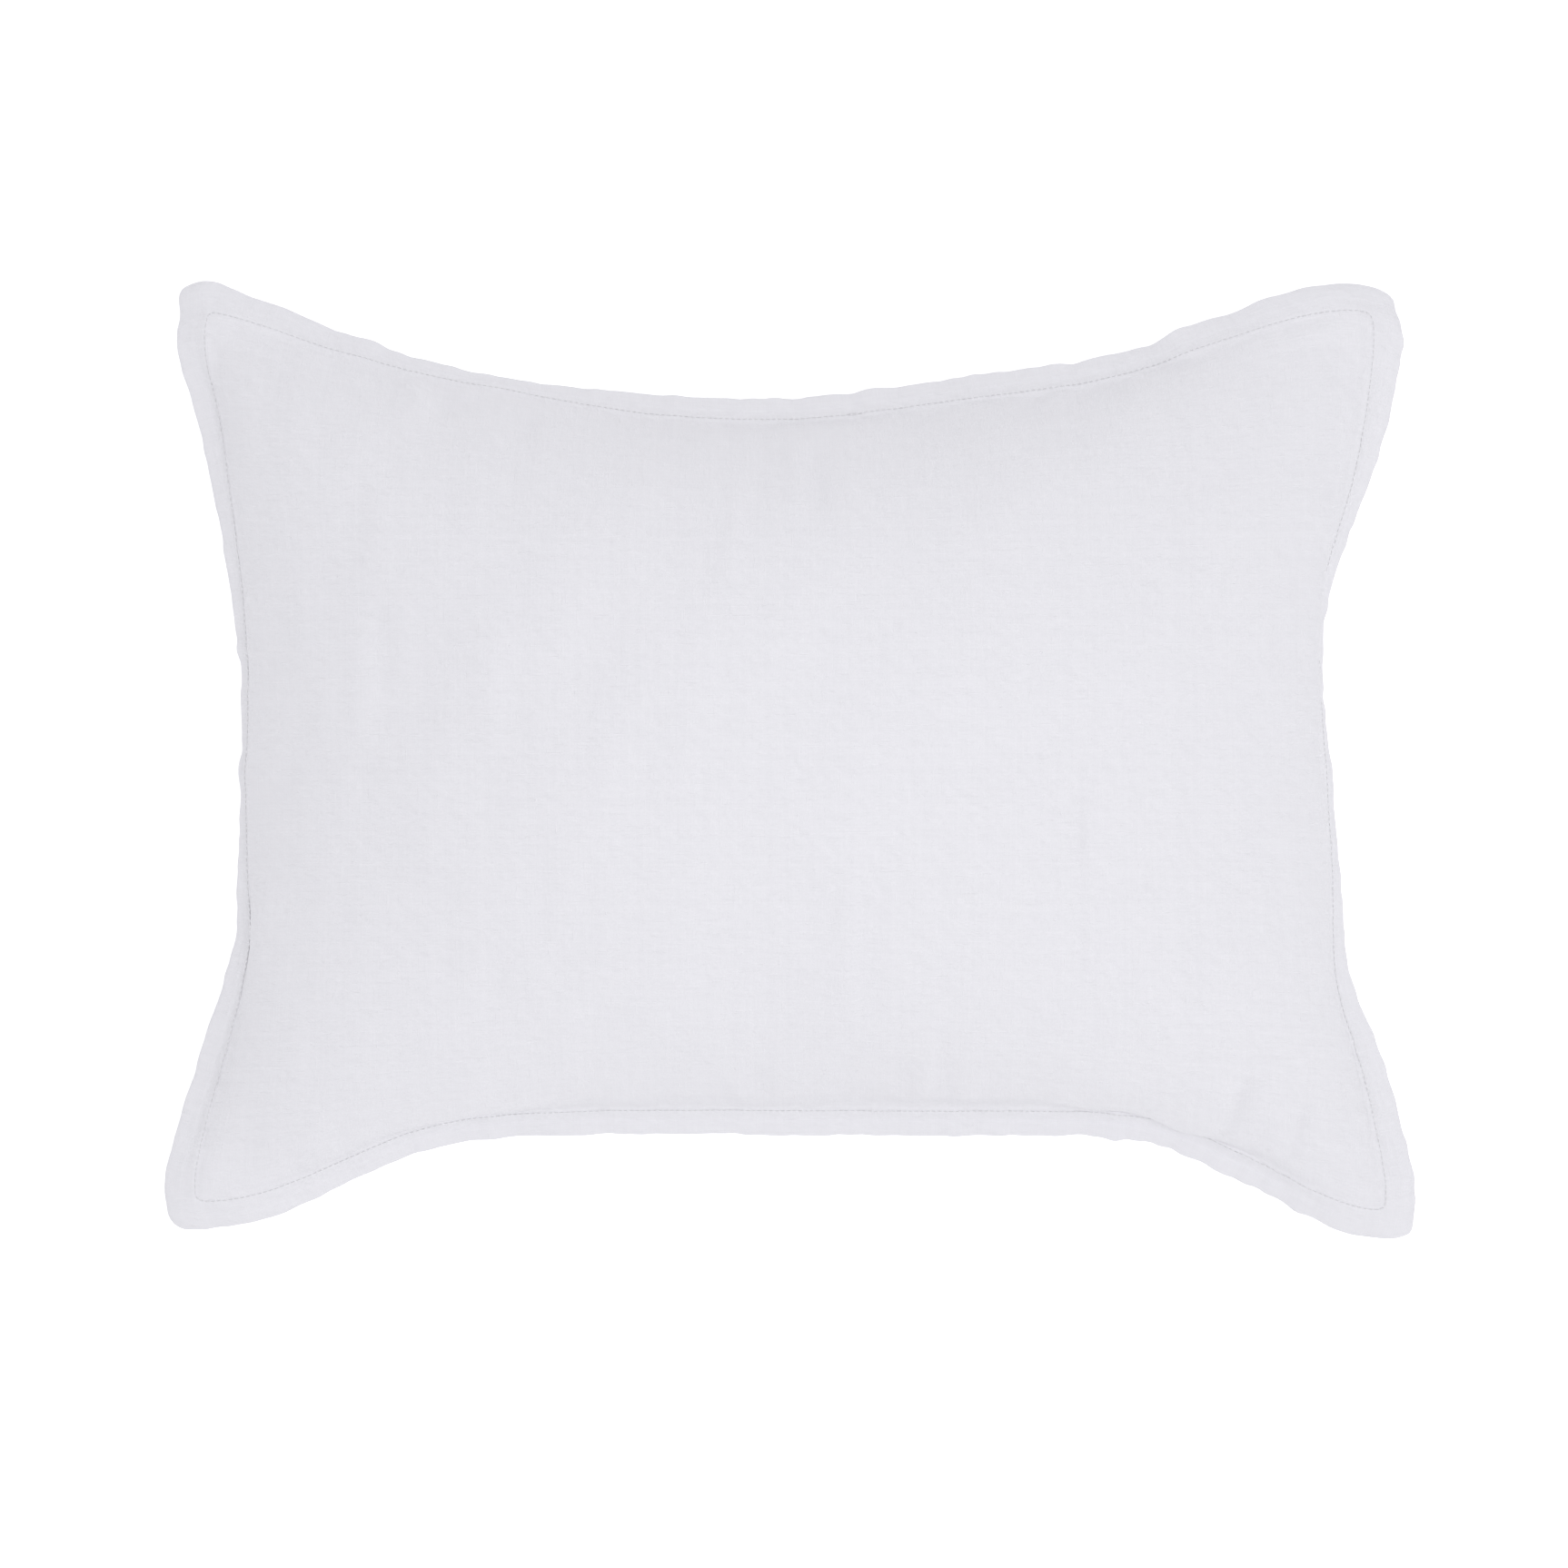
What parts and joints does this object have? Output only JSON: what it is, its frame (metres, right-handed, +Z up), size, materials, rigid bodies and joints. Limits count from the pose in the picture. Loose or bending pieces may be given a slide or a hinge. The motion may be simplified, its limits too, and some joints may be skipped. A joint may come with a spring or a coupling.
{
  "type": "bed pillow",
  "caption": "Plump rectangular bed pillow with a piped insert inside a plain white sham: pulled-in edges, pointed corners, narrow stitched flange and an overlapping envelope back.",
  "frame": {"origin": "under the middle of the pillow, on the surface it lies on", "axes": "+X along the pillow, +Y towards its far long edge, +Z up through its thickness, front of the sham on top"},
  "size_m": [0.648, 0.4936, 0.216],
  "materials": {
    "sham_cloth": "matt plain-weave linen and cotton cloth, white with a faint cool cast",
    "sewing_thread": "white spun polyester sewing thread",
    "ticking_cloth": "close, smooth white cotton ticking",
    "fibre_fill": "loose white polyester fibre",
    "label_tape": "white satin label tape, blank"
  },
  "bodies": {
    "root": {"sham_front": "sham_cloth", "sham_back_flap": "sham_cloth", "sham_back_under": "sham_cloth", "flange_topstitch": "sewing_thread", "flange_bobbin_stitch": "sewing_thread", "edge_seam_stitch": "sewing_thread", "flap_hem_stitch": "sewing_thread", "under_hem_stitch": "sewing_thread", "opening_bartacks": "sewing_thread", "care_label": "label_tape", "ticking_top": "ticking_cloth", "ticking_bottom": "ticking_cloth", "ticking_piping": "ticking_cloth", "ticking_seam_stitch": "sewing_thread", "fill": "fibre_fill", "insert_label": "label_tape"}
  },
  "joints": []
}
